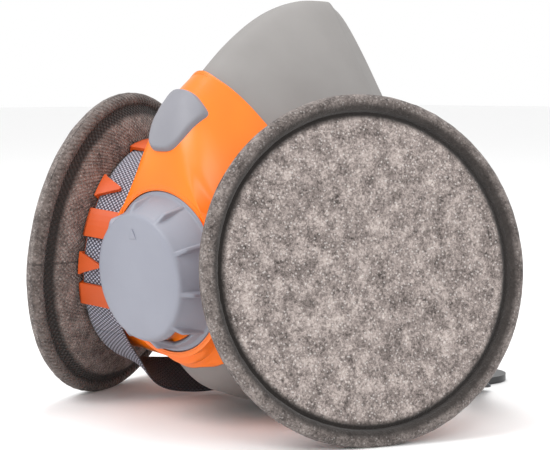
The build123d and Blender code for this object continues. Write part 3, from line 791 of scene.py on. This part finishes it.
@dataclass
class ExhalationCover:
    """Grip cap of the exhalation valve: a ribbed cone with a flange and three vents underneath."""

    finishes: Finishes
    face_radius: float = 20.06
    flange_radius: float = 25.54
    ribs: int = 10
    first_rib: float = 25.0
    sides: int = 600
    vents: tuple[float, ...] = (-65.0, -101.0, -137.0)

    def build(self) -> Piece:
        """Cone profile carried round the axis, pushed out at the ribs, with the vents' faces left out."""
        rim = self.face_radius
        profile = np.concatenate([
            np.array([(0.0, -0.55), (5.0, -0.5), (10.0, -0.35), (14.0, -0.15), (17.0, 0.05), (rim - 1.6, 0.2)]),
            soft_profile([(rim - 1.2, 0.26), (rim - 0.45, 0.55), (rim + 0.02, 1.2), (rim + 0.5, 2.4)], 8),
            np.stack([np.linspace(rim + 0.62, 24.0, 22), np.linspace(2.7, 10.6, 22)], axis=1),
            soft_profile([(24.15, 10.95), (24.4, 11.25), (24.95, 11.4), (25.35, 11.55), (self.flange_radius, 11.9),
                          (self.flange_radius, 13.3)], 10),
        ])
        angle = full_turn(self.sides)
        gap = (np.degrees(angle) - self.first_rib + 180 / self.ribs) % (360 / self.ribs) - 180 / self.ribs
        across = np.abs(gap)[None, :] * radians(1) * profile[:, :1]
        crest = 22.3 + 0.2 * profile[:, 1:]
        proud = np.maximum(crest - profile[:, :1], 0) * smoothstep(profile[:, 1:], 0.8, 4.2)
        ridge = proud * (1 - smoothstep(across, 0.45, 0.95))
        points = VALVE.polar(angle[None, :], profile[:, :1] + ridge, profile[:, 1:])
        faces = grid_faces(len(profile), self.sides, wrap_columns=True)
        ring, place = faces[:, 0] // self.sides, np.degrees(angle[faces[:, 0] % self.sides])
        open_here = np.zeros(len(faces), bool)
        for vent in self.vents:
            apart = np.abs((place - vent + 180) % 360 - 180)
            open_here |= (apart < 13.2) & (profile[ring, 1] > 3.0) & (profile[ring, 1] < 8.4)
        piece = put_mesh("exhalation_cap", points, faces[~open_here])
        close_poles(piece)
        solidify(piece, 1.3)
        dress(piece, self.finishes.cover, "exhalation_cover_body", "cover_grey", "exhalation_cover")
        self.mark()
        return piece

    def mark(self) -> None:
        """Small raised triangle near the top of the face, which shows how the cap is lined up."""
        corners = np.array([(0.0, 15.4), (-1.7, 12.4), (1.7, 12.4)])
        rows = [VALVE.point(corners[:, 0] * s, (corners[:, 1] - 13.4) * s + 13.4, d)
                for s, d in ((1.0, 0.2), (1.0, -0.42), (0.6, -0.5), (0.001, -0.5))]
        piece = put_mesh("cap_mark", np.stack(rows), grid_faces(4, 3, wrap_columns=True), smooth=False)
        close_poles(piece)
        dress(piece, self.finishes.cover, "exhalation_cover_body", "cover_grey")


@dataclass
class DiscFilter:
    """Twist-on disc filter: felt front inside a rolled rim, and a felt back that bulges to the coupling."""

    finishes: Finishes
    side: Side
    radius: float = 52.5
    wall: float = 0.9
    sides: int = 384
    front_rings: int = 150
    back_rings: int = 84

    def build(self) -> None:
        """Make the front with its rolled rim and the back."""
        edge = self.radius
        front = soft_profile([(0.0, 2.1), (15, 2.15), (30, 2.1), (42, 2.05), (45.6, 2.2), (46.9, 3.0), (47.7, 3.1),
                              (48.1, 2.2), (48.5, 0.9), (49.3, 0.2), (50.3, 0.0), (51.4, 0.25), (52.2, 1.1),
                              (edge, 2.4), (edge - 0.05, 2.75)], self.front_rings)
        lumps = value_noise((self.front_rings, self.sides), (16, 60), 7)
        fine = value_noise((self.front_rings, self.sides), (50, 190), 11)
        calm = smoothstep(front[:, :1], 2.0, 12.0)
        ripple = np.stack([0.12 * fine * smoothstep(front[:, :1], 46, 50), (0.16 * lumps + 0.08 * fine) * calm], -1)
        self.felt("front", front, ripple, self.finishes.felt_front, "face")

        back = soft_profile([(24.3, 9.4), (24.3, 10.35), (30, 10.3), (36, 10.0), (40.5, 9.2), (44.5, 7.5), (47.2, 5.4),
                             (48.6, 4.3), (49.3, 4.25), (50.0, 4.9), (51.0, 5.1), (51.9, 4.6), (52.35, 3.6),
                             (edge - 0.05, 2.75)], self.back_rings)
        creases = value_noise((self.back_rings, self.sides), (10, 46), 23)
        fine = value_noise((self.back_rings, self.sides), (40, 190), 29)
        loose = smoothstep(back[:, :1], 26, 34)
        ripple = np.stack([np.zeros_like(fine), (0.18 * creases + 0.07 * fine) * loose], axis=-1)
        self.felt("rear", back, ripple, self.finishes.felt_back, "back")

    def felt(self, part: str, profile: Array, ripple: Array, material: Material, node: str) -> None:
        """Carry a profile round the filter's axis, give it a wall, and dress it on the filter's own body."""
        word = self.side.word
        piece = turned(f"filter_{part}_{word}", PODS[self.side], profile, self.sides, ripple)
        solidify(piece, self.wall, 0.0)
        dress(piece, material, f"filter_{word}", "filter_felt", f"filter_{node}_{word}")


def pod_plate(pod: AxisFrame, angles: tuple[float, float], depths: tuple[float, float], radii: tuple[float, float],
              taper: float = 1.0) -> tuple[Array, Array]:
    """Curved plate on a drum, between two angles, depths and radii; it narrows to taper of its width at its tip."""
    sweep = max(2, int(abs(angles[1] - angles[0]) / 3) + 2)
    across = np.linspace(-1, 1, sweep)
    middle, half = radians(sum(angles) / 2), radians(abs(angles[1] - angles[0]) / 2)
    rings = []
    for share in np.linspace(0, 1, 6):
        width = half * (1 + (taper - 1) * share)
        turn = middle + across * width
        depth = depths[0] + (depths[1] - depths[0]) * share
        low = pod.polar(turn, radii[0], depth)
        high = pod.polar(turn[::-1], radii[1], depth)
        rings.append(np.concatenate([low, high]))
    points = np.stack(rings)
    faces = capped_tube(len(rings), sweep)
    if signed_volume(points.reshape(-1, 3), faces) < 0:
        faces = faces[:, ::-1]
    return points.reshape(-1, 3), faces


@dataclass
class StrapGuide:
    """Guide clipped round a cheek drum: a band, three closed bridges and two open hooks over the strap."""

    finishes: Finishes
    side: Side

    def build(self) -> Piece:
        """Join the guide's curved plates and soften their edges."""
        pod = PODS[self.side]
        plates = [pod_plate(pod, (-45, 96), (11.0, 25.7), (34.15, 35.1))]
        for first, last in ((73, 95), (13.5, 28), (-22, -10.5)):
            plates.append(pod_plate(pod, (first, last), (11.2, 25.6), (36.95, 38.2)))
            plates.append(pod_plate(pod, (first, last), (11.2, 12.0), (34.9, 38.2)))
            plates.append(pod_plate(pod, (first, last), (24.9, 25.7), (34.9, 38.2)))
        for first, last in ((34.5, 47.5), (-6, 5.5)):
            plates.append(pod_plate(pod, (first, last), (11.0, 19.2), (36.95, 38.4), 0.12))
            plates.append(pod_plate(pod, (first, last), (11.0, 12.0), (34.9, 38.4)))
        firsts = np.cumsum([0] + [len(rows) for rows, _ in plates])
        points = np.concatenate([rows for rows, _ in plates])
        faces = np.concatenate([quads + first for (_, quads), first in zip(plates, firsts)])
        name = f"strap_guide_moulding_{self.side.word}"
        piece = put_mesh(name, points, faces, smooth=False)
        bevel = piece.modifiers.new("edge", "BEVEL")
        bevel.width = 0.35 * MM
        bevel.segments = 2
        bevel.limit_method = "ANGLE"
        dress(piece, self.finishes.guide, "mask", "guide_orange", f"strap_guide_{self.side.word}")
        return piece


@dataclass
class HarnessStrap:
    """One elastic strap: clasp, lower run, belt round the drum, upper run, cradle."""

    finishes: Finishes
    side: Side
    width: float = 12.4
    thickness: float = 1.3
    belt_radius: float = 36.1
    belt_depth: float = 18.2
    across: int = 14
    step: float = 1.2
    lower_stations: int = 8
    outer_face: float = 90.0
    inner_face: float = 50.0

    def stations(self) -> tuple[Array, Array]:
        """Points of the strap's middle line and the direction across it, from the clasp to the cradle."""
        pod = PODS[self.side]
        flat = FLOOR_Z + 1.6
        lower = [((9.7, 53.5, flat), (0.0, -1.0, 0.0)), ((15.5, 51.2, flat), (-0.25, -0.97, 0.0)),
                 ((22.0, 46.5, -48.9), (-0.5, -0.7, -0.35)), ((28.5, 37.0, -46.4), (-0.5, -0.25, -0.8)),
                 ((33.0, 25.0, -45.6), (-0.35, 0.0, -0.93)), ((36.2, 14.0, -45.4), (-0.35, 0.0, -0.93)),
                 ((40.0, 3.5, -43.8), (-0.62, 0.1, -0.75)), ((42.6, -6.5, -38.6), (-0.85, 0.3, -0.35))]
        upper = [((50.5, 25.0, 31.5), (-0.91, 0.4, 0.0)), ((56.5, 40.0, 22.0), (-0.97, 0.25, 0.0)),
                 ((58.0, 53.0, 5.0), (-0.99, -0.1, 0.0)), ((53.0, 63.0, -14.0), (-0.75, -0.66, 0.0)),
                 ((42.0, 73.0, -33.0), (-0.72, -0.69, 0.0)), ((30.0, 84.0, -46.5), (-0.9, -0.42, 0.0)),
                 ((25.0, 93.0, flat), (-0.9, -0.45, 0.0))]
        lower, upper = (np.array(rows) * (self.side.value, 1, 1) for rows in (lower, upper))
        turn = np.radians(np.linspace(-42, 96, 16))
        belt = pod.polar(turn, self.belt_radius, self.belt_depth)
        points = np.concatenate([lower[:, 0], belt, upper[:, 0]])
        sideways = np.concatenate([lower[:, 1], np.tile(pod.z, (len(turn), 1)), upper[:, 1]])
        return points, unit(sideways)

    def build(self) -> None:
        """Carry a flat section with rounded edges along the cubic through the stations, parted at the belt."""
        points, sideways = self.stations()
        length = run_along(points)
        fine = np.linspace(0, length[-1], int(length[-1] / self.step))
        middle = cubic_through(length, points, fine)
        wide = cubic_through(length, sideways, fine)
        heading = unit(np.gradient(middle, axis=0))
        wide = unit(wide - heading * (wide * heading).sum(axis=1, keepdims=True))
        normal = np.cross(heading, wide)
        share = np.linspace(-1, 1, self.across)
        belly = 0.5 * self.thickness * np.sqrt(np.clip(1 - share**6, 0.12, 1))
        loop_u = np.concatenate([share, share[::-1]]) * self.width / 2
        loop_v = np.concatenate([belly, -belly[::-1]])
        rows = middle[:, None] + wide[:, None] * loop_u[None, :, None] + normal[:, None] * loop_v[None, :, None]
        rows[..., 2] = np.maximum(rows[..., 2], FLOOR_Z + 0.2)
        run = run_along(middle)
        facing = [self.outer_face, self.inner_face]
        face = np.repeat(facing if self.side.value < 0 else facing[::-1], self.across)
        uv = np.stack(np.broadcast_arrays(run[:, None], (loop_u + face)[None, :]), axis=-1)
        split = int(np.argmin(np.abs(fine - length[self.lower_stations])))
        word = self.side.word
        lower = self.length_of_webbing(f"strap_lower_run_{word}", rows[:split + 1], uv[:split + 1])
        if self.side is Side.RIGHT:
            lower.data.materials.append(self.finishes.webbing)
            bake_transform(lower)
            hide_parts(f"strap_lower_{word}")
        else:
            dress(lower, self.finishes.webbing, "mask", "webbing", f"strap_lower_{word}")
        upper = self.length_of_webbing(f"strap_upper_run_{word}", rows[split:], uv[split:])
        dress(upper, self.finishes.webbing, "mask", "webbing", f"strap_belt_{word}", f"strap_upper_{word}")

    def length_of_webbing(self, name: str, rows: Array, uv: Array) -> Piece:
        """Close one stretch of the section's rows into a piece: rings joined in order, both ends capped.

        Args:
            name: Name of the piece.
            rows: Section loops along the stretch, in millimetres.
            uv: Run and place across the section for every point.

        Returns:
            The new piece.
        """
        return put_mesh(name, rows, capped_tube(len(rows), self.across), uv)


@dataclass
class CarriedNodes:
    """CAD pieces that keep their shape and get their finish here."""

    finishes: Finishes

    def build(self) -> None:
        """Put a finish into each carried node's material slots."""
        by_finish = [
            (self.finishes.shell, ("valve_housing", "exhalation_seat", "cheek_drum")),
            (self.finishes.silicone, ("exhalation_flap", "inhalation_flap", "port_gasket")),
            (self.finishes.black, ("inhalation_seat", "port_left", "port_right", "filter_coupling")),
            (self.finishes.media, ("filter_media",)),
            (self.finishes.acetal, ("neck_clasp", "head_cradle")),
        ]
        for name, node in frame["nodes"].items():
            for material, starts in by_finish:
                if name.startswith(starts):
                    node.data.materials.clear()
                    node.data.materials.append(material)
                    log.info("%s keeps its CAD shape", name)


@dataclass
class Studio:
    """Pale floor, soft lights and the camera."""

    camera_place: tuple[float, float, float] = (414.6, -367.8, 55.5)
    azimuth: float = 46.9
    elevation: float = 4.73
    lens: float = 112.1

    def build(self) -> None:
        """Make the stage."""
        bpy.context.scene.view_settings.view_transform = "Standard"
        self.floor()
        self.lights()
        self.camera()

    def floor(self) -> None:
        """Plain pale floor."""
        bpy.ops.mesh.primitive_plane_add(size=12.0, location=(0, 0, 0))
        floor = bpy.context.object
        floor.name = "floor"
        material, tree, shader, _ = start_material("pale_floor")
        shader.inputs["Base Color"].default_value = linear("F7F7F7")
        shader.inputs["Roughness"].default_value = 0.9
        floor.data.materials.append(material)

    def lights(self) -> None:
        """Even white surround with four soft lights."""
        world = bpy.data.worlds.new("surround")
        bpy.context.scene.world = world
        world.use_nodes = True
        world.node_tree.nodes["Background"].inputs["Color"].default_value = (1, 1, 1, 1)
        world.node_tree.nodes["Background"].inputs["Strength"].default_value = 1.0
        soft_lights = [("key", (-0.1, -0.9, 1.0), 0.5, 6.0), ("fill", (1.3, -0.5, 0.7), 0.8, 2.0),
                       ("top", (-0.2, 0.2, 1.3), 0.7, 5.2), ("near", (0.42, -0.36, 0.42), 0.2, 0.6)]
        for name, place, size, power in soft_lights:
            data = bpy.data.lights.new(name, "AREA")
            data.size = size
            data.energy = power
            light = bpy.data.objects.new(name, data)
            light.location = place
            aim = Vector((0, -0.03, 0.06)) - Vector(place)
            light.rotation_euler = aim.to_track_quat("-Z", "Y").to_euler()
            bpy.context.scene.collection.objects.link(light)

    def camera(self) -> None:
        """Long lens at a low three-quarter view from the wearer's left front."""
        turn, rise = radians(self.azimuth), radians(self.elevation)
        right = Vector((cos(turn), sin(turn), 0))
        back = Vector((sin(turn) * cos(rise), -cos(turn) * cos(rise), sin(rise)))
        up = back.cross(right)
        place = Vector(np.array(self.camera_place) * MM + ORIGIN)
        data = bpy.data.cameras.new("camera")
        data.lens = self.lens
        data.sensor_width = 36.0
        camera = bpy.data.objects.new("camera", data)
        camera.matrix_world = Matrix.Translation(place) @ Matrix((right, up, back)).transposed().to_4x4()
        bpy.context.scene.collection.objects.link(camera)
        bpy.context.scene.camera = camera


def main() -> None:
    """Build the mask's sub-assemblies in order."""
    logging.basicConfig(level=logging.INFO)
    finishes = Finishes()
    Facepiece(finishes).build()
    shell = FrontShell(finishes)
    shell.build()
    shell.bosses()
    TopCover(finishes).build()
    ExhalationCover(finishes).build()
    for side in Side:
        DiscFilter(finishes, side).build()
        StrapGuide(finishes, side).build()
        HarnessStrap(finishes, side).build()
    CarriedNodes(finishes).build()
    Studio().build()


if __name__ == "__main__":
    main()
